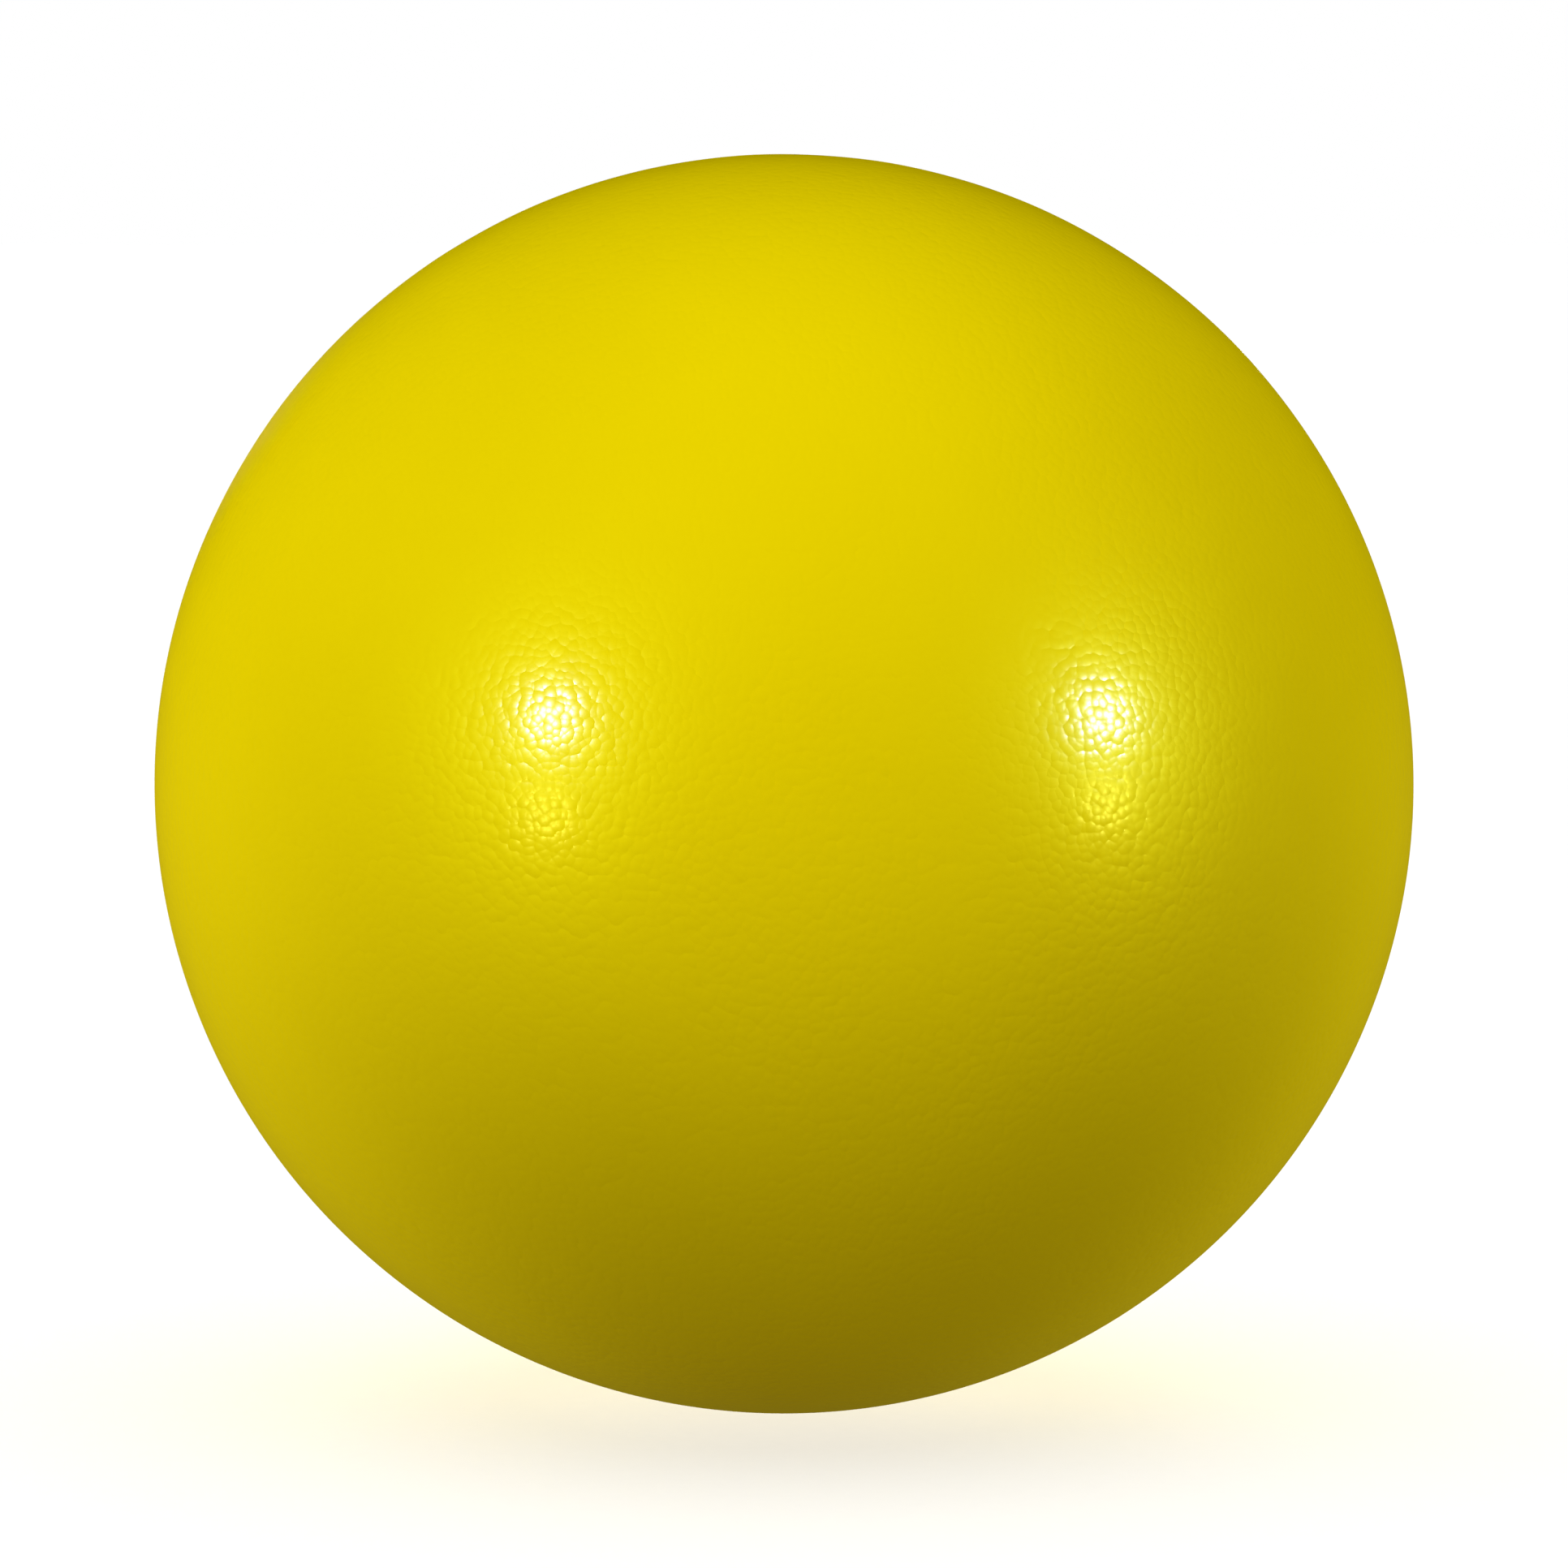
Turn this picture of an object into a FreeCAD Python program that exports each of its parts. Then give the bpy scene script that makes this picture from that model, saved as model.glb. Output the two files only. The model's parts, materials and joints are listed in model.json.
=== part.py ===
"""Inflated rubber playground ball, 8.5 inches across, resting on the floor.

A yellow cover is moulded over a carcass of wound nylon thread and a butyl bladder. A rubber valve is bonded to
the bladder at one pole of the mould, and holds a removable insert that seals itself round an inflating needle.

Frame, in millimetres: +Z up, the origin at the middle of the contact patch that the ball rests on, and the valve
facing +Y. The two halves of the mould met in the XZ plane, so the cover and the bladder are each made as a front
half (-Y) and a valve half (+Y).
"""

import FreeCAD
import Part

import math
import os

from FreeCAD import Vector

# Driving dimensions.
BALL_RADIUS = 108.0

# Walls, from the outside in.
COVER_WALL = 1.5
WINDING_WALL = 0.4
BLADDER_WALL = 0.9

# The ball's weight flattens its foot: a flat disc, and round it a band of tighter curve that meets the sphere.
PATCH_RADIUS = 12.0
PATCH_BLEND = 30.0

# Valve body: a flange bonded inside the bladder, a boss into the air space and a neck out through the wall.
FLANGE_RADIUS = 16.0
FLANGE_WALL = 1.2
FLANGE_RIM_WALL = 0.5
BOSS_RADIUS = 6.0
BOSS_LENGTH = 12.0
BOSS_CHAMFER = 1.0
NECK_RADIUS = 5.0
NECK_RECESS = 0.5  # from the ball's surface down to the neck's outer face

# Valve insert: a stem with a head, drilled part of the way for the needle.
STEM_RADIUS = 2.5
STEM_TIP_RADIUS = 1.6
STEM_TIP_LENGTH = 4.0
STEM_PAST_BOSS = 1.5
HEAD_RADIUS = 3.6
HEAD_THICKNESS = 1.6
HEAD_EDGE = 0.3
INSERT_CLEARANCE = 0.04  # all round, so that the insert can slide out
NEEDLE_RADIUS = 0.8
NEEDLE_DEPTH = 5.0
FUNNEL_RADIUS = 1.5
FUNNEL_DEPTH = 0.7

# Reinforcing ring that fills the gap the winding leaves round the valve's neck.
VALVE_RING_RADIUS = 14.0

# Moulded on the cover round the valve: a raised ring, and a shallow dish down to the neck.
COLLAR_RADIUS = 11.0
COLLAR_WIDTH = 1.8
COLLAR_HEIGHT = 0.35
DISH_RADIUS = 6.6

# Worked out from those.
WINDING_INSET = COVER_WALL
BLADDER_INSET = WINDING_INSET + WINDING_WALL
AIR_INSET = BLADDER_INSET + BLADDER_WALL
AIR_RADIUS = BALL_RADIUS - AIR_INSET
CENTRE_HEIGHT = PATCH_BLEND + math.sqrt((BALL_RADIUS - PATCH_BLEND) ** 2 - PATCH_RADIUS**2)
CENTRE = Vector(0, 0, CENTRE_HEIGHT)
NECK_FACE = BALL_RADIUS - NECK_RECESS
BOSS_FACE = AIR_RADIUS - BOSS_LENGTH
HEAD_SEAT = NECK_FACE - HEAD_THICKNESS

UP = Vector(0, 0, 1)
VALVE_AXIS = Vector(0, 1, 0)
HALF_BOX = 2 * BALL_RADIUS  # wider than the ball


def inflated_form(inset):
    """The ball as it rests, filled in, to a surface that is inset below the outside."""
    radius = BALL_RADIUS - inset
    blend = PATCH_BLEND - inset
    # The blend's centre, and the angle below the horizontal at which its arc meets the sphere's.
    blend_centre = Vector(PATCH_RADIUS, 0, PATCH_BLEND)
    meets_at = math.atan2(CENTRE_HEIGHT - PATCH_BLEND, PATCH_RADIUS)

    def on_blend(angle):
        return blend_centre + Vector(math.cos(angle), 0, -math.sin(angle)) * blend

    def on_sphere(angle):
        return CENTRE + Vector(math.cos(angle), 0, -math.sin(angle)) * radius

    patch_middle = Vector(0, 0, inset)
    patch_rim = Vector(PATCH_RADIUS, 0, inset)
    top = CENTRE + UP * radius
    half_outline = [
        Part.LineSegment(patch_middle, patch_rim),
        Part.Arc(patch_rim, on_blend((math.pi / 2 + meets_at) / 2), on_blend(meets_at)),
        Part.Arc(on_blend(meets_at), on_sphere(0), top),
        Part.LineSegment(top, patch_middle),
    ]
    wire = Part.Wire([edge.toShape() for edge in half_outline])
    return Part.Face(wire).revolve(Vector(), UP, 360)


def half_space(side):
    """A box over the valve's half of the ball for side +1, and over the front half for side -1."""
    start_y = 0 if side > 0 else -HALF_BOX
    corner = Vector(-HALF_BOX, start_y, -HALF_BOX)
    return Part.makeBox(2 * HALF_BOX, HALF_BOX, 2 * HALF_BOX, corner)


def disc(radius, start, end):
    """A cylinder on the valve's axis, between two distances from the ball's centre."""
    return Part.makeCylinder(radius, end - start, CENTRE + VALVE_AXIS * start, VALVE_AXIS)


def cone(start_radius, end_radius, start, end):
    """A cone on the valve's axis, between two distances from the ball's centre."""
    return Part.makeCone(start_radius, end_radius, end - start, CENTRE + VALVE_AXIS * start, VALVE_AXIS)


def ball_at_centre(radius):
    return Part.makeSphere(radius, CENTRE)


def shell(outer_inset, inner_inset):
    return inflated_form(outer_inset).cut(inflated_form(inner_inset))


def collar():
    """The raised ring round the valve, a half-round bead that sits in the cover's surface."""
    seat = math.sqrt(BALL_RADIUS**2 - COLLAR_RADIUS**2)
    bead = Part.makeTorus(COLLAR_RADIUS, COLLAR_WIDTH / 2, CENTRE + VALVE_AXIS * seat, VALVE_AXIS)
    raised = ball_at_centre(BALL_RADIUS + COLLAR_HEIGHT)
    buried = ball_at_centre(BALL_RADIUS - COVER_WALL / 2)
    return bead.common(raised).cut(buried)


def cover_front_half():
    return shell(0, COVER_WALL).common(half_space(-1))


def cover_valve_half():
    half = shell(0, COVER_WALL).common(half_space(+1)).fuse(collar())
    dish = cone(NECK_RADIUS, DISH_RADIUS, NECK_FACE, BALL_RADIUS)
    return half.cut(disc(NECK_RADIUS, 0, HALF_BOX)).cut(dish)


def thread_winding():
    wound = shell(WINDING_INSET, BLADDER_INSET)
    return wound.cut(disc(VALVE_RING_RADIUS, 0, HALF_BOX))


def valve_reinforcing_ring():
    layer = shell(WINDING_INSET, BLADDER_INSET)
    ring = disc(VALVE_RING_RADIUS, 0, HALF_BOX).cut(disc(NECK_RADIUS, 0, HALF_BOX))
    return layer.common(ring)


def bladder_front_half():
    return shell(BLADDER_INSET, AIR_INSET).common(half_space(-1))


def bladder_valve_half():
    half = shell(BLADDER_INSET, AIR_INSET).common(half_space(+1))
    return half.cut(disc(NECK_RADIUS, 0, HALF_BOX))


def flange():
    """A dished disc against the inside of the bladder, thick at the boss and thin at its rim."""
    inner_radius = AIR_RADIUS - FLANGE_WALL
    # The inner face is a sphere of larger radius, which draws in towards the outer face at the rim.
    rim_radius = AIR_RADIUS - FLANGE_RIM_WALL
    rim_depth = math.sqrt(rim_radius**2 - FLANGE_RADIUS**2)
    sag = inner_radius - rim_depth
    face_radius = (FLANGE_RADIUS**2 + sag**2) / (2 * sag)
    hollow = Part.makeSphere(face_radius, CENTRE + VALVE_AXIS * (inner_radius - face_radius))
    plug = disc(FLANGE_RADIUS, rim_depth - FLANGE_WALL, AIR_RADIUS + FLANGE_WALL)
    return plug.common(ball_at_centre(AIR_RADIUS)).cut(hollow)


def valve_body():
    boss = disc(BOSS_RADIUS, BOSS_FACE + BOSS_CHAMFER, AIR_RADIUS - FLANGE_WALL / 2)
    boss_end = cone(BOSS_RADIUS - BOSS_CHAMFER, BOSS_RADIUS, BOSS_FACE, BOSS_FACE + BOSS_CHAMFER)
    neck = disc(NECK_RADIUS, AIR_RADIUS - FLANGE_WALL, NECK_FACE)
    body = flange().fuse([boss, boss_end, neck])
    stem_bore = disc(STEM_RADIUS, 0, HALF_BOX)
    head_seat = disc(HEAD_RADIUS, HEAD_SEAT, HALF_BOX)
    return body.cut(stem_bore).cut(head_seat).removeSplitter()


def valve_insert():
    stem_radius = STEM_RADIUS - INSERT_CLEARANCE
    head_radius = HEAD_RADIUS - INSERT_CLEARANCE
    tip = BOSS_FACE - STEM_PAST_BOSS
    tip_base = tip + STEM_TIP_LENGTH
    pieces = [
        disc(stem_radius, tip_base, HEAD_SEAT),
        disc(head_radius, HEAD_SEAT, NECK_FACE - HEAD_EDGE),
        cone(head_radius, head_radius - HEAD_EDGE, NECK_FACE - HEAD_EDGE, NECK_FACE),
    ]
    insert = cone(STEM_TIP_RADIUS, stem_radius, tip, tip_base).fuse(pieces)
    needle_floor = NECK_FACE - FUNNEL_DEPTH - NEEDLE_DEPTH
    needle_bore = disc(NEEDLE_RADIUS, needle_floor, NECK_FACE)
    funnel = cone(NEEDLE_RADIUS, FUNNEL_RADIUS, NECK_FACE - FUNNEL_DEPTH, NECK_FACE)
    return insert.cut(needle_bore).cut(funnel).removeSplitter()


PIECES = [
    cover_front_half,
    cover_valve_half,
    thread_winding,
    valve_reinforcing_ring,
    bladder_front_half,
    bladder_valve_half,
    valve_body,
    valve_insert,
]


def main():
    os.makedirs("parts", exist_ok=True)
    for piece in PIECES:
        shape = piece()
        if not shape.isValid() or len(shape.Solids) != 1:
            raise RuntimeError(f"{piece.__name__} isn't one valid solid")
        shape.exportStep(f"parts/{piece.__name__}.step")
        print(f"{piece.__name__}: {shape.Volume:.1f} mm3")


main()
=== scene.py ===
"""Looks of an inflated rubber playground ball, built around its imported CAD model.

Everything is in metres in the model's own frame: +Z up, the origin in the middle of the contact patch that
the ball rests on, the valve facing +Y and the mould's parting line in the XZ plane. A point on the ball is
given by its arc, the distance along the surface from the valve's axis, and by the angle around that axis.
An inset is a depth below the ball's outside.
"""

import json
from math import acos, asin, atan2, cos, hypot, pi, radians, sin, sqrt, tan

import bmesh
import bpy
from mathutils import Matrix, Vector, noise


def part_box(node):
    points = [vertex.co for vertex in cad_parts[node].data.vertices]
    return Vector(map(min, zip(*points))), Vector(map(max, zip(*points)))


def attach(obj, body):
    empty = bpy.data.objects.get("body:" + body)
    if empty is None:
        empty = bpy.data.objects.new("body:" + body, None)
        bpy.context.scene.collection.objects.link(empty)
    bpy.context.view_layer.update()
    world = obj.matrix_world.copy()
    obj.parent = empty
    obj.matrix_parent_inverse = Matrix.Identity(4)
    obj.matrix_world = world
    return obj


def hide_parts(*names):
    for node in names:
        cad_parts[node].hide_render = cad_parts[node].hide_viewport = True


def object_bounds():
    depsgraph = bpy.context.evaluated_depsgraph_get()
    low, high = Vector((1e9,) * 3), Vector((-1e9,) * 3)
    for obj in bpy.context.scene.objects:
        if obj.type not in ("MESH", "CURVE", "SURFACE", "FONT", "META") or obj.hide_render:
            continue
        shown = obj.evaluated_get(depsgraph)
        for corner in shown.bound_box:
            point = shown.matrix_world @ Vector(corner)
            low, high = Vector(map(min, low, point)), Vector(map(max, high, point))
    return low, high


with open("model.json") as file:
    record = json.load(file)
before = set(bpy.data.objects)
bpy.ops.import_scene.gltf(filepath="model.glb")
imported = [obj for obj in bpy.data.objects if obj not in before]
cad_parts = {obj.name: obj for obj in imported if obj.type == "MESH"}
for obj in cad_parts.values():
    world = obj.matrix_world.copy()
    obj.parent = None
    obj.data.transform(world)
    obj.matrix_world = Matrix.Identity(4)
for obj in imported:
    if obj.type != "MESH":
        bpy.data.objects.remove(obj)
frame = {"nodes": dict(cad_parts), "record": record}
cad_low, cad_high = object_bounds()

MM = 0.001

# Sizes and places that the CAD model gives.
MOUNTS = {mount["name"]: mount for mount in frame["record"]["mounts"]}
CENTRE = Vector((0, 0, MOUNTS["needle_hole"]["pos_m"][2]))
BALL_RADIUS = cad_high.z - CENTRE.z
COVER_WALL = cad_high.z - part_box("thread_winding")[1].z
BLADDER_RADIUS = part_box("bladder_front_half")[1].z - CENTRE.z
BLADDER_INSET = BALL_RADIUS - BLADDER_RADIUS
VALVE_GAP_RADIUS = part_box("valve_reinforcing_ring")[1].x
NECK_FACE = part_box("valve_body")[1].y
BOSS_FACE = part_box("valve_body")[0].y
FLANGE_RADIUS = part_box("valve_body")[1].x
INSERT_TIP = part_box("valve_insert")[0].y
HEAD_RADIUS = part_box("valve_insert")[1].x
NEEDLE_RADIUS = MOUNTS["needle_hole"]["dims"]["r_mm"] * MM
NEEDLE_DEPTH = MOUNTS["needle_hole"]["dims"]["length_mm"] * MM
FUNNEL_FLOOR = MOUNTS["needle_hole"]["pos_m"][1]

# Sizes that boxes and mounts can't give, as the CAD model has them.
PATCH_RADIUS = 12 * MM
PATCH_BLEND = 30 * MM
BLADDER_WALL = 0.9 * MM
NECK_RADIUS = 5 * MM
BOSS_RADIUS = 6 * MM
BOSS_CHAMFER = 1 * MM
FLANGE_WALL = 1.2 * MM
FLANGE_RIM_WALL = 0.5 * MM
SEAT_RADIUS = 3.6 * MM
HEAD_THICKNESS = 1.6 * MM
HEAD_SEAT = NECK_FACE - HEAD_THICKNESS
STEM_BORE_RADIUS = 2.5 * MM
STEM_RADIUS = 2.46 * MM
STEM_TIP_RADIUS = 1.6 * MM
STEM_TIP_LENGTH = 4 * MM
FUNNEL_RADIUS = 1.5 * MM
COLLAR_RADIUS = 11 * MM
COLLAR_WIDTH = 1.8 * MM
COLLAR_HEIGHT = 0.35 * MM
DISH_RADIUS = 6.6 * MM

# Relief of the cover that only shows close up.
SEAM_WIDTH = 1.2 * MM
SEAM_HEIGHT = 0.1 * MM
SEAM_LEFT = 0.75  # share of that height that trimming leaves on average
SEAM_UNEVENNESS = 0.5
SEAM_PATCH = 12 * MM  # length of a stretch that was trimmed alike
WAVE_HEIGHT = 0.03 * MM
WAVE_LENGTH = 28 * MM
STIPPLE_PITCH = 1.4 * MM
STIPPLE_HEIGHT = 0.05 * MM
FOOT_FADE = 0.25  # share of the ball's radius, from the floor up, over which relief fades in

# Winding: nylon threads, set in a film of latex on the bladder.
FILM_WALL = 0.12 * MM
THREAD_COUNT = 120
THREAD_WIDTH = 0.5 * MM
THREAD_HEIGHT = 0.2 * MM
THREAD_LAYERS = 4
GOLDEN_ANGLE = pi * (3 - sqrt(5))  # spreads the threads evenly

# Rounding of the valve's edges.
VALVE_EDGE = 0.25 * MM
INSERT_EDGE = 0.3 * MM

# How finely the meshes are divided.
AROUND_COVER = 512
POLE_RING = 4  # points in the first ring round the front pole
SEAM_RINGS = 6
DISH_RINGS = 10
DISH_TO_COLLAR_RINGS = 4
COLLAR_RINGS = 12
PAST_COLLAR_RINGS = 12
VALVE_SIDE_RINGS = 100
INSIDE_RINGS = 32
AROUND_FILM = 256
FILM_RINGS = 80
ALONG_THREAD = 96
AROUND_THREAD = 6
AROUND_VALVE = 96
FLANGE_STEPS = 4
CORNER_STEPS = 4
SHARP_EDGE = radians(40)  # a crease at least this steep isn't shaded smooth

POLE_ARC = BALL_RADIUS * pi
EQUATOR_ARC = POLE_ARC / 2


# Shape of the ball.

def share(value):
    """The value, kept between 0 and 1."""
    return max(0.0, min(1.0, value))


def steps(start, end, count):
    """Evenly spaced values from start up to, but not including, end."""
    return [start + (end - start) * i / count for i in range(count)]


def form_radius(direction, inset):
    """Distance from the ball's centre to a surface at this inset, with the foot flattened."""
    from_down = acos(max(-1.0, min(1.0, -direction.z)))
    blend_up = CENTRE.z - PATCH_BLEND
    if from_down >= atan2(PATCH_RADIUS, blend_up):
        return BALL_RADIUS - inset
    if from_down <= atan2(PATCH_RADIUS, CENTRE.z - inset):
        return (CENTRE.z - inset) / cos(from_down)
    blend = PATCH_BLEND - inset
    along = PATCH_RADIUS * sin(from_down) + blend_up * cos(from_down)
    return along + sqrt(along**2 - (PATCH_RADIUS**2 + blend_up**2 - blend**2))


def hump(distance, width):
    """A smooth rise to 1 in the middle of a band, and 0 outside it."""
    return (1 + cos(2 * pi * distance / width)) / 2 if abs(distance) < width / 2 else 0.0


def relief(arc, direction):
    """Height of the cover's outside over the plain form: collar, dish, parting line and slight waves."""
    dish_depth = BALL_RADIUS - hypot(NECK_FACE, NECK_RADIUS)
    into_dish = share((DISH_RADIUS - arc) / (DISH_RADIUS - NECK_RADIUS))
    trimmed = SEAM_LEFT + SEAM_UNEVENNESS * noise.noise(direction * (BALL_RADIUS / SEAM_PATCH))
    seam = SEAM_HEIGHT * trimmed * hump(arc - EQUATOR_ARC, SEAM_WIDTH)
    wave = WAVE_HEIGHT * noise.noise(direction * (BALL_RADIUS / WAVE_LENGTH))
    off_foot = share((1 + direction.z) / FOOT_FADE)
    return (
        COLLAR_HEIGHT * hump(arc - COLLAR_RADIUS, COLLAR_WIDTH)
        - dish_depth * into_dish**2 * (3 - 2 * into_dish)
        + off_foot * (seam + wave)
    )


def ball_point(arc, around, inset):
    polar = arc / BALL_RADIUS
    direction = Vector((sin(polar) * sin(around), cos(polar), sin(polar) * cos(around)))
    height = relief(arc, direction) if inset == 0 else 0.0
    return CENTRE + direction * (form_radius(direction, inset) + height)


def ball_ring(arc, count, inset=0.0):
    return [ball_point(arc, angle, inset) for angle in steps(0, 2 * pi, count)]


def front_half_rings():
    """Rings from the pole of the outside to the parting line, and back along the inside to the pole."""
    seam_edge = EQUATOR_ARC + SEAM_WIDTH / 2
    outside_rings = AROUND_COVER // POLE_RING
    outside = [
        ball_ring(POLE_ARC + (seam_edge - POLE_ARC) * k / outside_rings, max(1, POLE_RING * k))
        for k in range(outside_rings + 1)
    ]
    seam_arcs = steps(seam_edge, EQUATOR_ARC, SEAM_RINGS)[1:] + [EQUATOR_ARC]
    seam = [ball_ring(arc, AROUND_COVER) for arc in seam_arcs]
    inside = [
        ball_ring(
            EQUATOR_ARC + (POLE_ARC - EQUATOR_ARC) * k / INSIDE_RINGS,
            max(1, AROUND_COVER * (INSIDE_RINGS - k) // INSIDE_RINGS),
            COVER_WALL,
        )
        for k in range(INSIDE_RINGS + 1)
    ]
    return outside + seam + inside


def valve_half_rings():
    """Rings from the dish's edge to the parting line, and back along the inside to the valve's hole."""
    collar_start = COLLAR_RADIUS - COLLAR_WIDTH / 2
    collar_end = COLLAR_RADIUS + COLLAR_WIDTH / 2
    seam_edge = EQUATOR_ARC - SEAM_WIDTH / 2
    outside_arcs = (
        steps(NECK_RADIUS, DISH_RADIUS, DISH_RINGS)
        + steps(DISH_RADIUS, collar_start, DISH_TO_COLLAR_RINGS)
        + steps(collar_start, collar_end, COLLAR_RINGS)
        + steps(collar_end, 2 * collar_end, PAST_COLLAR_RINGS)
        + steps(2 * collar_end, seam_edge, VALVE_SIDE_RINGS)
        + steps(seam_edge, EQUATOR_ARC, SEAM_RINGS)
        + [EQUATOR_ARC]
    )
    inside_arcs = steps(EQUATOR_ARC, NECK_RADIUS, INSIDE_RINGS) + [NECK_RADIUS]
    return (
        [ball_ring(arc, AROUND_COVER) for arc in outside_arcs]
        + [ball_ring(arc, AROUND_COVER, COVER_WALL) for arc in inside_arcs]
    )


def latex_film_rings():
    """Rings along the film's outside, from the valve's gap to the front pole, and back along its inside."""
    gap_arc = BALL_RADIUS * asin(VALVE_GAP_RADIUS / BLADDER_RADIUS)
    arcs = steps(gap_arc, POLE_ARC, FILM_RINGS)
    film_inset = BLADDER_INSET - FILM_WALL
    return (
        [ball_ring(arc, AROUND_FILM, film_inset) for arc in arcs]
        + [ball_ring(POLE_ARC, 1, inset) for inset in (film_inset, BLADDER_INSET)]
        + [ball_ring(arc, AROUND_FILM, BLADDER_INSET) for arc in reversed(arcs)]
    )


def thread_rings(number):
    """Rings round one flattened thread, which runs once round the ball on a great circle off the valve."""
    clear_of_valve = (VALVE_GAP_RADIUS + THREAD_WIDTH) / BLADDER_RADIUS
    along = clear_of_valve + (1 - clear_of_valve) * (number + 0.5) / THREAD_COUNT
    turn = number * GOLDEN_ANGLE
    normal = Vector((sqrt(1 - along**2) * cos(turn), along, sqrt(1 - along**2) * sin(turn)))
    first = normal.orthogonal().normalized()
    second = normal.cross(first)

    lowest_inset = BLADDER_INSET - FILM_WALL
    highest_inset = COVER_WALL + THREAD_HEIGHT
    layer = (number % THREAD_LAYERS + 0.5) / THREAD_LAYERS
    inset = lowest_inset + (highest_inset - lowest_inset) * layer
    rings = []
    for angle in steps(0, 2 * pi, ALONG_THREAD):
        outward = first * cos(angle) + second * sin(angle)
        middle = CENTRE + outward * form_radius(outward, inset)
        rings.append([
            middle + outward * (sin(corner) * THREAD_HEIGHT / 2) + normal * (cos(corner) * THREAD_WIDTH / 2)
            for corner in steps(0, 2 * pi, AROUND_THREAD)
        ])
    return rings


# Shape of the valve, as outlines of (distance from its axis, distance along it from the ball's centre).

def valve_body_outline():
    air_radius = BLADDER_RADIUS - BLADDER_WALL

    def on_sphere(radius, from_axis):
        return (from_axis, sqrt(radius**2 - from_axis**2))

    bonded_face = [
        on_sphere(air_radius, from_axis) for from_axis in steps(NECK_RADIUS, FLANGE_RADIUS, FLANGE_STEPS)
    ]
    return [
        (SEAT_RADIUS, NECK_FACE),
        (NECK_RADIUS, NECK_FACE),
        *bonded_face,
        on_sphere(air_radius, FLANGE_RADIUS),
        on_sphere(air_radius - FLANGE_RIM_WALL, FLANGE_RADIUS),
        on_sphere(air_radius - FLANGE_WALL, BOSS_RADIUS),
        (BOSS_RADIUS, BOSS_FACE + BOSS_CHAMFER),
        (BOSS_RADIUS - BOSS_CHAMFER, BOSS_FACE),
        (STEM_BORE_RADIUS, BOSS_FACE),
        (STEM_BORE_RADIUS, HEAD_SEAT),
        (SEAT_RADIUS, HEAD_SEAT),
    ]


def valve_insert_outline():
    needle_floor = FUNNEL_FLOOR - NEEDLE_DEPTH
    return [
        (0, needle_floor),
        (NEEDLE_RADIUS, needle_floor),
        (NEEDLE_RADIUS, FUNNEL_FLOOR),
        (FUNNEL_RADIUS, NECK_FACE),
        (HEAD_RADIUS, NECK_FACE),
        (HEAD_RADIUS, HEAD_SEAT),
        (STEM_RADIUS, HEAD_SEAT),
        (STEM_RADIUS, INSERT_TIP + STEM_TIP_LENGTH),
        (STEM_TIP_RADIUS, INSERT_TIP),
        (0, INSERT_TIP),
    ]


def rounded(outline, radius, closed):
    """The outline with each corner swept round."""
    points = [Vector(point) for point in outline]
    smooth = []
    for i, corner in enumerate(points):
        if not closed and i in (0, len(points) - 1):
            smooth.append(corner)
            continue
        before, after = points[i - 1], points[(i + 1) % len(points)]
        reach = min(radius, (before - corner).length / 2, (after - corner).length / 2)
        enter = corner + (before - corner).normalized() * reach
        leave = corner + (after - corner).normalized() * reach
        for t in steps(0, 1, CORNER_STEPS) + [1]:
            smooth.append(enter * (1 - t) ** 2 + corner * 2 * t * (1 - t) + leave * t**2)
    return smooth


# Meshes.

def stitched(first, second, first_count, second_count):
    """Triangles between two rings of points, given each ring's first index and its number of points."""
    triangles = []
    i = j = 0
    while i < first_count or j < second_count:
        a, b = first + i % first_count, second + j % second_count
        first_is_behind = (i + 1) * second_count <= (j + 1) * first_count
        if j == second_count or (i < first_count and first_is_behind):
            i += 1
            third = first + i % first_count
        else:
            j += 1
            third = second + j % second_count
        if len({a, b, third}) == 3:
            triangles.append((a, b, third))
    return triangles


def turned_outwards(mesh):
    work = bmesh.new()
    work.from_mesh(mesh)
    bmesh.ops.recalc_face_normals(work, faces=work.faces)
    work.to_mesh(mesh)
    work.free()


def ring_piece(name, chains, closed):
    """A smooth mesh through chains of rings of points. If closed, a chain's last ring joins its first."""
    points = []
    faces = []
    for rings in chains:
        starts = []
        for ring in rings:
            starts.append(len(points))
            points += ring
        for k in range(len(rings) if closed else len(rings) - 1):
            following = (k + 1) % len(rings)
            faces += stitched(starts[k], starts[following], len(rings[k]), len(rings[following]))
    mesh = bpy.data.meshes.new(name)
    mesh.from_pydata(points, [], faces)
    turned_outwards(mesh)
    mesh.shade_smooth()
    mesh.set_sharp_from_angle(angle=SHARP_EDGE)
    piece = bpy.data.objects.new(name, mesh)
    bpy.context.scene.collection.objects.link(piece)
    return piece


def turned_piece(name, outline, closed):
    """A piece turned about the valve's axis."""
    rings = [
        [
            CENTRE + Vector((radius * sin(angle), along, radius * cos(angle)))
            for angle in steps(0, 2 * pi, AROUND_VALVE if radius > 0 else 1)
        ]
        for radius, along in outline
    ]
    return ring_piece(name, [rings], closed)


# Shader nodes.

def set_inputs(tree, node, inputs):
    """Sets a node's inputs to values, or links them to sockets."""
    for key, value in inputs.items():
        if isinstance(value, bpy.types.NodeSocket):
            tree.links.new(value, node.inputs[key])
        else:
            node.inputs[key].default_value = value


def add(tree, kind, inputs=None, **settings):
    """A new shader node with these settings and inputs."""
    node = tree.nodes.new(kind)
    for key, value in settings.items():
        setattr(node, key, value)
    set_inputs(tree, node, inputs or {})
    return node


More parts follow.
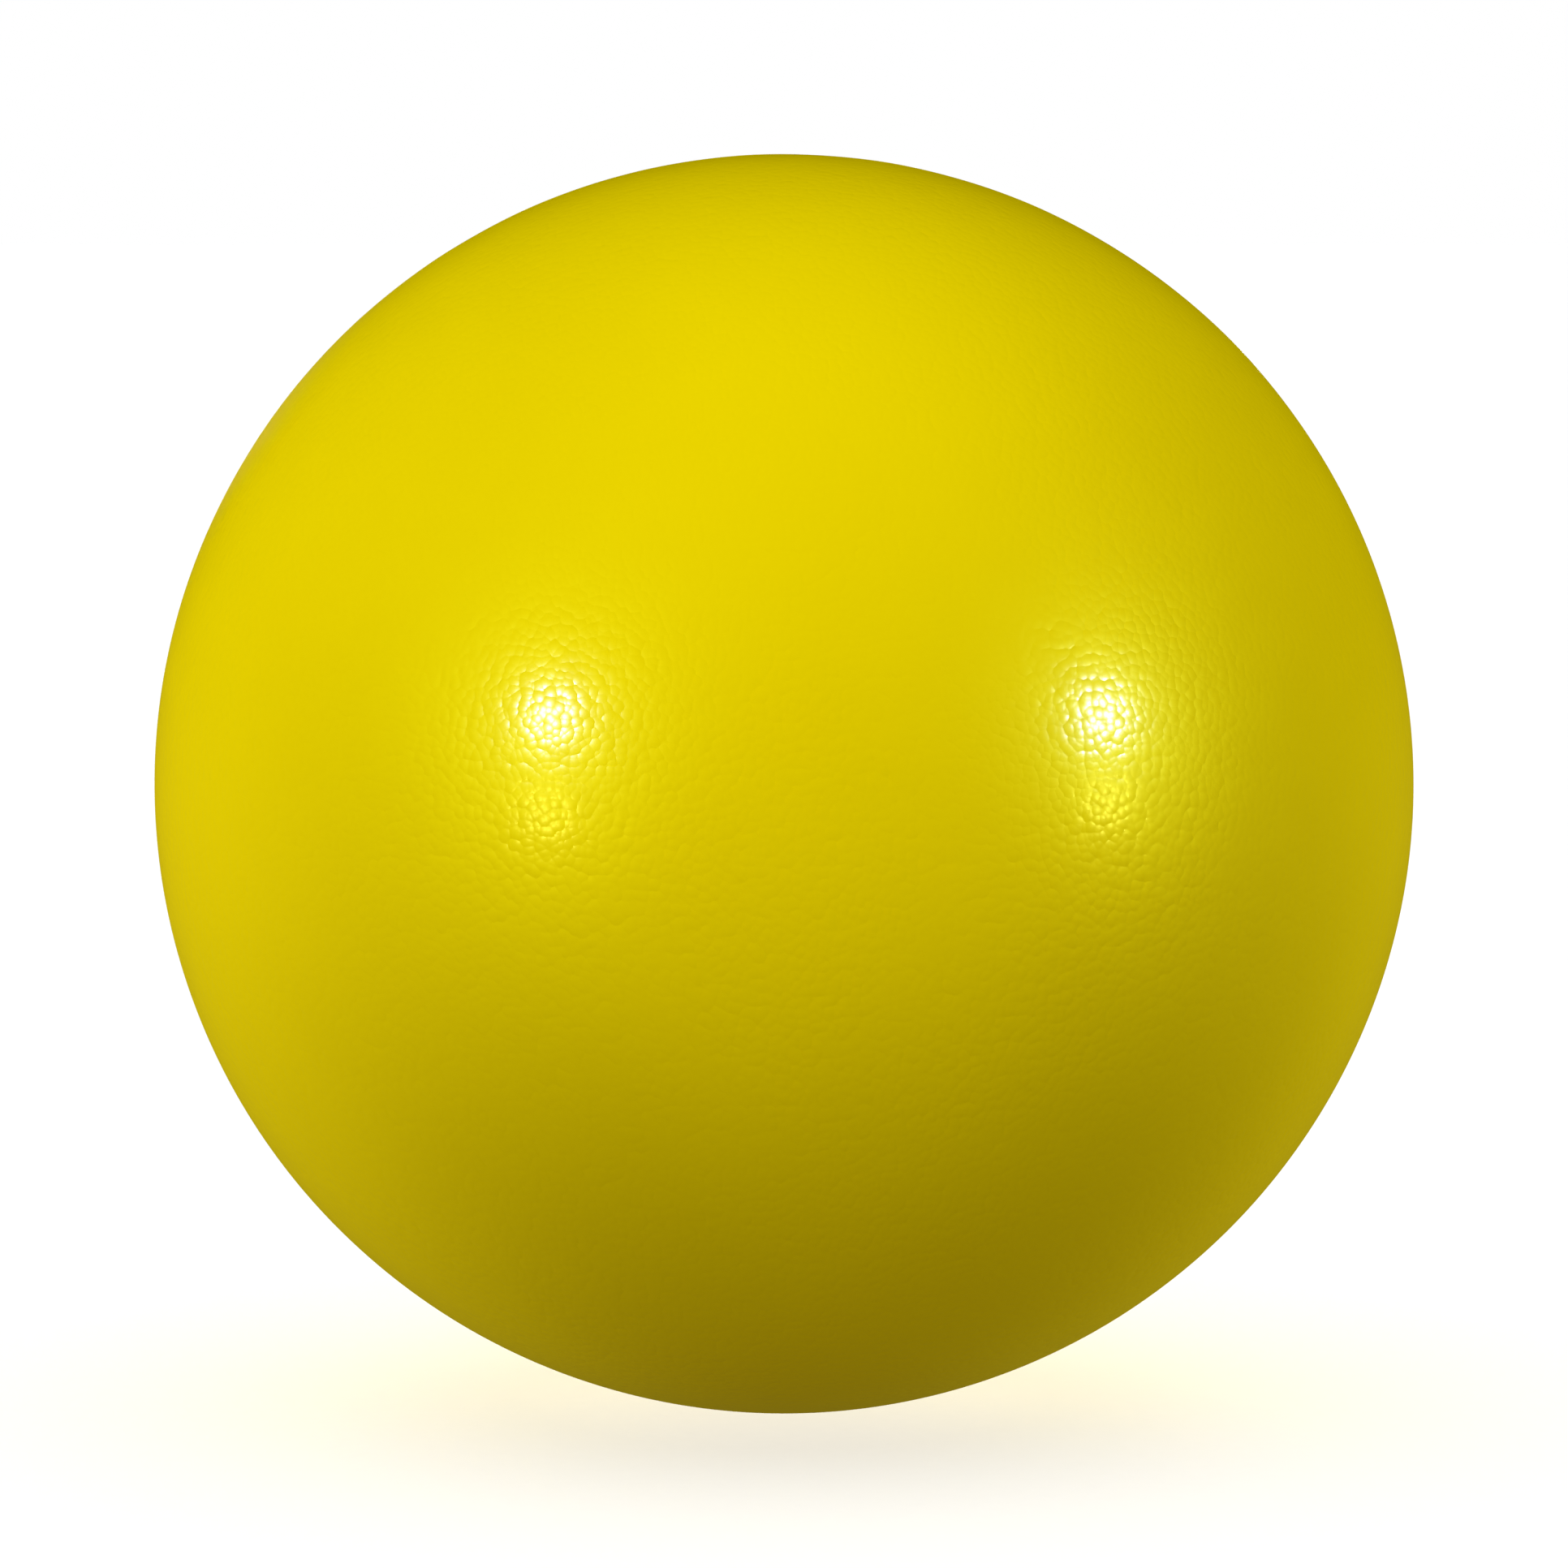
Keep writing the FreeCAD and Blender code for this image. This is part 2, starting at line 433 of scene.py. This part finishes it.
def new_material(name):
    """A material with its node tree, object coordinates and principled shader."""
    material = bpy.data.materials.new(name)
    material.use_nodes = True
    tree = material.node_tree
    coordinates = add(tree, "ShaderNodeTexCoord").outputs["Object"]
    return material, tree, coordinates, tree.nodes["Principled BSDF"]


def arithmetic(tree, operation, *values):
    return add(tree, "ShaderNodeMath", dict(enumerate(values)), operation=operation).outputs[0]


def noise_value(tree, coordinates, pitch, detail):
    """A noise from 0 to 1 whose bumps are about one pitch apart."""
    inputs = {"Vector": coordinates, "Scale": 1 / pitch, "Detail": detail}
    return add(tree, "ShaderNodeTexNoise", inputs).outputs["Fac"]


def domes(tree, coordinates, pitch):
    """Small rounded bumps, packed at random about one pitch apart: 1 at their tops, less between them."""
    inputs = {"Vector": coordinates, "Scale": 1 / pitch}
    from_top = add(tree, "ShaderNodeTexVoronoi", inputs).outputs["Distance"]
    return arithmetic(tree, "SUBTRACT", 1.0, arithmetic(tree, "POWER", from_top, 2.0))


def between(tree, value, low, high, start=0.0, end=1.0):
    """The value mapped smoothly from low..high to start..end."""
    inputs = {"Value": value, "From Min": low, "From Max": high, "To Min": start, "To Max": end}
    return add(tree, "ShaderNodeMapRange", inputs, interpolation_type="SMOOTHSTEP").outputs["Result"]


def blended_colour(tree, factor, first, second):
    inputs = {"Factor": factor, "A": (*first, 1), "B": (*second, 1)}
    return add(tree, "ShaderNodeMix", inputs, data_type="RGBA").outputs[2]


def bumped(tree, height, distance):
    inputs = {"Height": height, "Strength": 1.0, "Distance": distance}
    return add(tree, "ShaderNodeBump", inputs).outputs["Normal"]


# Materials.

MOST_OF_NOISE = (0.3, 0.7)  # the range that holds nearly all of a noise's values
TONE_PATCH = 60 * MM
SHINE_PATCH = 7 * MM
COVER_ROUGHNESS = (0.42, 0.46)
COVER_YELLOWS = (0.905, 0.715, 0.0), (0.925, 0.735, 0.0)
LATEX_TONES = (0.66, 0.58, 0.4), (0.78, 0.71, 0.54)
THREAD_TONES = (0.9, 0.88, 0.82), (0.8, 0.75, 0.6)  # clean, and stained by latex
FLOOR_TONES = (0.86, 0.86, 0.86), (0.88, 0.88, 0.88)
DARK_RUBBERS = {
    # slot: plain colour, colour of the bloom, pitch and height of the grain, roughness
    "valve_rubber": ((0.03, 0.03, 0.03), (0.05, 0.05, 0.048), 0.5 * MM, 0.02 * MM, 0.5),
    "insert_rubber": ((0.05, 0.048, 0.045), (0.07, 0.07, 0.066), 0.4 * MM, 0.01 * MM, 0.42),
    "ring_rubber": ((0.1, 0.095, 0.09), (0.16, 0.15, 0.14), 0.8 * MM, 0.03 * MM, 0.65),
    "butyl_rubber": ((0.02, 0.02, 0.022), (0.16, 0.16, 0.16), 1.0 * MM, 0.03 * MM, 0.75),
}


def stippled_area(tree, coordinates):
    """1 where the cover is stippled, and 0 on and inside the collar and along the parting line."""
    place = add(tree, "ShaderNodeSeparateXYZ", {"Vector": coordinates}).outputs
    up = arithmetic(tree, "SUBTRACT", place["Z"], CENTRE.z)
    squares = [arithmetic(tree, "POWER", offset, 2.0) for offset in (place["X"], up)]
    from_axis = arithmetic(tree, "SQRT", arithmetic(tree, "ADD", *squares))
    off_collar = between(tree, from_axis, COLLAR_RADIUS, COLLAR_RADIUS + COLLAR_WIDTH)
    in_front = arithmetic(tree, "LESS_THAN", place["Y"], 0.0)
    off_seam = between(tree, arithmetic(tree, "ABSOLUTE", place["Y"]), SEAM_WIDTH / 4, SEAM_WIDTH)
    return arithmetic(tree, "MULTIPLY", arithmetic(tree, "MAXIMUM", in_front, off_collar), off_seam)


def cover_material():
    """Yellow rubber with a moulded stipple: a broad yellow gloss, under a thin clear bloom of wax."""
    material, tree, coordinates, shader = new_material("cover_rubber")
    stipple = arithmetic(
        tree, "MULTIPLY", domes(tree, coordinates, STIPPLE_PITCH), stippled_area(tree, coordinates)
    )
    normal = bumped(tree, stipple, STIPPLE_HEIGHT)
    tone = noise_value(tree, coordinates, TONE_PATCH, detail=2.0)
    shine = noise_value(tree, coordinates, SHINE_PATCH, detail=3.0)
    set_inputs(tree, shader, {
        "Base Color": blended_colour(tree, between(tree, tone, *MOST_OF_NOISE), *COVER_YELLOWS),
        "Roughness": between(tree, shine, *MOST_OF_NOISE, *COVER_ROUGHNESS),
        "IOR": 1.7,
        "Specular IOR Level": 1.0,
        "Specular Tint": (1.0, 1.0, 0.0, 1),
        "Coat Weight": 0.4,
        "Coat Roughness": 0.18,
        "Normal": normal,
        "Coat Normal": normal,
    })
    return material


def thread_material():
    """White nylon, with fibres as fine as its width allows and a stain of latex in patches."""
    material, tree, coordinates, shader = new_material("nylon_thread")
    fibres = noise_value(tree, coordinates, 0.2 * MM, detail=3.0)
    stain = noise_value(tree, coordinates, 15 * MM, detail=3.0)
    set_inputs(tree, shader, {
        "Base Color": blended_colour(tree, between(tree, stain, *MOST_OF_NOISE), *THREAD_TONES),
        "Roughness": between(tree, fibres, 0.2, 0.8, 0.45, 0.65),
        "Normal": bumped(tree, fibres, 0.02 * MM),
    })
    return material


def latex_material():
    """Dried latex: cloudy and slightly yellow, smooth where it lay thick."""
    material, tree, coordinates, shader = new_material("dried_latex")
    cloud = noise_value(tree, coordinates, 9 * MM, detail=4.0)
    drips = noise_value(tree, coordinates, 2 * MM, detail=3.0)
    set_inputs(tree, shader, {
        "Base Color": blended_colour(tree, between(tree, cloud, *MOST_OF_NOISE), *LATEX_TONES),
        "Roughness": between(tree, drips, *MOST_OF_NOISE, 0.3, 0.55),
        "Normal": bumped(tree, drips, 0.05 * MM),
    })
    return material


def dark_rubber(slot):
    """Black rubber with a grain, and a paler bloom in patches."""
    plain, bloomed, pitch, height, roughness = DARK_RUBBERS[slot]
    material, tree, coordinates, shader = new_material(slot)
    grain = noise_value(tree, coordinates, pitch, detail=4.0)
    bloom = noise_value(tree, coordinates, 12 * pitch, detail=3.0)
    set_inputs(tree, shader, {
        "Base Color": blended_colour(tree, between(tree, bloom, 0.35, 0.75), plain, bloomed),
        "Roughness": between(tree, grain, 0.2, 0.8, roughness - 0.06, roughness + 0.06),
        "Normal": bumped(tree, grain, height),
    })
    return material


def floor_material():
    material, tree, coordinates, shader = new_material("pale_floor")
    grain = noise_value(tree, coordinates, 3 * MM, detail=3.0)
    set_inputs(tree, shader, {
        "Base Color": blended_colour(tree, grain, *FLOOR_TONES),
        "Roughness": between(tree, grain, 0.0, 1.0, 0.65, 0.75),
        "Specular IOR Level": 0.2,
    })
    return material


# Camera, floor and light. Azimuth and elevation, in degrees, are seen from the ball: azimuth 0 is the
# camera's side, and grows towards +X. A light's level is the brightness that it gives a white matte surface
# that faces it.

VIEW_ELEVATION = radians(5)
VIEW_DISTANCE = 1.2
SILHOUETTE_SHARE = 0.803  # of half the picture's width
SENSOR_WIDTH = 36.0

FLOOR_SIZE = 40.0
FLOOR_SHADOWED = 0.45  # level of the floor's light that casts the ball's shadow
FLOOR_UNSHADOWED = 0.85  # and of its light that casts none
OVERHEAD_SPREAD = radians(90)
FLOOR_BOUNCE = (0.225, 0.184, 0.028)  # warm light on the ball from below
MIRRORED_SHARE = 0.45  # how much of that the gloss shows
HORIZON_BLUR = 0.1

# Soft lights only show as shading, and spots only as glints. A spot fades out well inside the ball's
# outline as it sees it, so that nothing glares round the edge of the ball.
LIGHT_DISTANCE = 1.4
SOFT_LIGHT_SIZE = 1.0
SOFT_LIGHTS = {
    # name: azimuth, elevation, level
    "left_key": (-37, 8, 0.275),
    "right_key": (49, 5, 0.125),
    "top_left": (-32, 49, 0.47),
    "top_right": (29, 52, 0.38),
    "back_left": (-120, -7, 0.91),
    "back_right": (130, -9, 0.95),
    "back_top": (180, 35, 0.22),
}
SPOT_SIZE = 0.02
SPOT_REACH = 0.74  # share of the ball's width that a spot covers
SPOT_ANGLE = 2 * asin(SPOT_REACH * BALL_RADIUS / LIGHT_DISTANCE)
SPOT_FADE = 0.2
WHITE = (0.65, 0.8, 1.0)
YELLOW = (1.0, 0.95, 0.15)  # as a lamp mirrored in something yellow
SPOTS = {
    # name: azimuth, elevation, level, colour
    "left_spot": (-41.2, 14.3, 0.31, WHITE),
    "right_spot": (58, 12.7, 0.37, WHITE),
    "left_low_spot": (-41, -1, 0.08, YELLOW),
    "right_low_spot": (57, 0, 0.09, YELLOW),
    "back_left_spot": (-140, 22, 0.3, WHITE),
    "back_right_spot": (150, 20, 0.3, WHITE),
}


def away_from_ball(azimuth, elevation):
    a, e = radians(azimuth), radians(elevation)
    return Vector((sin(a) * cos(e), -cos(a) * cos(e), sin(e)))


def aimed_at_centre(name, data, place):
    thing = bpy.data.objects.new(name, data)
    thing.location = place
    thing.rotation_euler = (place - CENTRE).to_track_quat("Z", "Y").to_euler()
    bpy.context.scene.collection.objects.link(thing)
    return thing


def make_camera():
    data = bpy.data.cameras.new("camera")
    data.sensor_width = SENSOR_WIDTH
    half_view = tan(asin(BALL_RADIUS / VIEW_DISTANCE)) / SILHOUETTE_SHARE
    data.lens = SENSOR_WIDTH / 2 / half_view
    back = Vector((0, -cos(VIEW_ELEVATION), sin(VIEW_ELEVATION)))
    bpy.context.scene.camera = aimed_at_centre("camera", data, CENTRE + back * VIEW_DISTANCE)


def make_floor():
    """A wide pale floor, lit on its own. What it would throw back onto the ball comes from the world."""
    half = FLOOR_SIZE / 2
    corners = [(-half, -half, 0), (half, -half, 0), (half, half, 0), (-half, half, 0)]
    mesh = bpy.data.meshes.new("floor")
    mesh.from_pydata(corners, [], [(0, 1, 2, 3)])
    mesh.materials.append(floor_material())
    floor = bpy.data.objects.new("floor", mesh)
    bpy.context.scene.collection.objects.link(floor)
    floor.visible_diffuse = False
    floor.visible_glossy = False
    floor.visible_shadow = False
    return floor


def light_group(name, floor, state):
    """A set of receivers that is the floor alone, or everything but the floor."""
    group = bpy.data.collections.new(name)
    group.objects.link(floor)
    group.collection_objects[0].light_linking.link_state = state
    return group


def studio_light(name, kind, azimuth, elevation, receivers):
    data = bpy.data.lights.new(name, kind)
    data.cycles.use_multiple_importance_sampling = False
    light = aimed_at_centre(name, data, CENTRE + away_from_ball(azimuth, elevation) * LIGHT_DISTANCE)
    light.visible_camera = False
    light.light_linking.receiver_collection = receivers
    return light


def make_soft_lights(receivers):
    for name, (azimuth, elevation, level) in SOFT_LIGHTS.items():
        light = studio_light(name, "AREA", azimuth, elevation, receivers)
        light.data.shape = "DISK"
        light.data.size = SOFT_LIGHT_SIZE
        light.data.energy = level * (pi * LIGHT_DISTANCE) ** 2
        light.visible_glossy = False


def make_spots(receivers):
    for name, (azimuth, elevation, level, colour) in SPOTS.items():
        light = studio_light(name, "SPOT", azimuth, elevation, receivers)
        light.data.shadow_soft_size = SPOT_SIZE
        light.data.spot_size = SPOT_ANGLE
        light.data.spot_blend = SPOT_FADE
        light.data.energy = level * (2 * pi * LIGHT_DISTANCE) ** 2
        light.data.color = colour
        light.visible_diffuse = False


def make_floor_lights(receivers):
    floor_lights = {"floor_light": (FLOOR_SHADOWED, True), "floor_fill": (FLOOR_UNSHADOWED, False)}
    for name, (level, shadow) in floor_lights.items():
        data = bpy.data.lights.new(name, "SUN")
        data.energy = level * pi
        data.angle = OVERHEAD_SPREAD
        data.use_shadow = shadow
        data.cycles.use_multiple_importance_sampling = False
        light = bpy.data.objects.new(name, data)
        bpy.context.scene.collection.objects.link(light)
        light.visible_glossy = False
        light.light_linking.receiver_collection = receivers


def make_lights(floor):
    on_ball = light_group("lit_by_studio", floor, "EXCLUDE")
    make_soft_lights(on_ball)
    make_spots(on_ball)
    make_floor_lights(light_group("lit_from_above", floor, "INCLUDE"))


def make_world():
    """White where the camera sees it. It lights the ball dimly and warmly from below, as a floor would."""
    world = bpy.data.worlds.new("studio")
    world.use_nodes = True
    tree = world.node_tree
    direction = add(tree, "ShaderNodeTexCoord").outputs["Generated"]
    height = add(tree, "ShaderNodeSeparateXYZ", {"Vector": direction}).outputs["Z"]
    below = between(tree, height, HORIZON_BLUR, -HORIZON_BLUR)
    ray = add(tree, "ShaderNodeLightPath").outputs
    inputs = {"Factor": ray["Is Glossy Ray"], "A": 1.0, "B": MIRRORED_SHARE}
    shown = add(tree, "ShaderNodeMix", inputs).outputs[0]
    light = blended_colour(tree, arithmetic(tree, "MULTIPLY", below, shown), (0, 0, 0), FLOOR_BOUNCE)
    inputs = {"Factor": ray["Is Camera Ray"], "A": light, "B": (1, 1, 1, 1)}
    colour = add(tree, "ShaderNodeMix", inputs, data_type="RGBA").outputs[2]
    tree.links.new(colour, tree.nodes["Background"].inputs["Color"])
    bpy.context.scene.world = world


# The pieces.

def finish_piece(piece, body, material, node):
    piece.data.materials.append(material)
    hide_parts(node)
    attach(piece, body)


def make_cover():
    material = cover_material()
    front = ring_piece("cover_front_skin", [front_half_rings()], closed=False)
    finish_piece(front, "ball", material, "cover_front_half")
    back = ring_piece("cover_valve_skin", [valve_half_rings()], closed=True)
    finish_piece(back, "ball", material, "cover_valve_half")


def make_winding():
    chains = [thread_rings(number) for number in range(THREAD_COUNT)]
    threads = ring_piece("winding_threads", chains, closed=True)
    finish_piece(threads, "ball", thread_material(), "thread_winding")
    film = ring_piece("winding_latex", [latex_film_rings()], closed=True)
    finish_piece(film, "ball", latex_material(), "thread_winding")


def make_valve():
    body_outline = rounded(valve_body_outline(), VALVE_EDGE, closed=True)
    body = turned_piece("valve_moulding", body_outline, closed=True)
    finish_piece(body, "ball", dark_rubber("valve_rubber"), "valve_body")
    insert_outline = rounded(valve_insert_outline(), INSERT_EDGE, closed=False)
    insert = turned_piece("insert_moulding", insert_outline, closed=False)
    finish_piece(insert, "insert", dark_rubber("insert_rubber"), "valve_insert")


def paint_carried_over():
    """Materials for the CAD pieces that keep their own shape."""
    butyl = dark_rubber("butyl_rubber")
    carried_over = {
        "valve_reinforcing_ring": dark_rubber("ring_rubber"),
        "bladder_front_half": butyl,
        "bladder_valve_half": butyl,
    }
    for node, material in carried_over.items():
        frame["nodes"][node].data.materials.clear()
        frame["nodes"][node].data.materials.append(material)


make_camera()
make_lights(make_floor())
make_world()
make_cover()
make_winding()
make_valve()
paint_carried_over()
bpy.context.scene.view_settings.view_transform = "Standard"
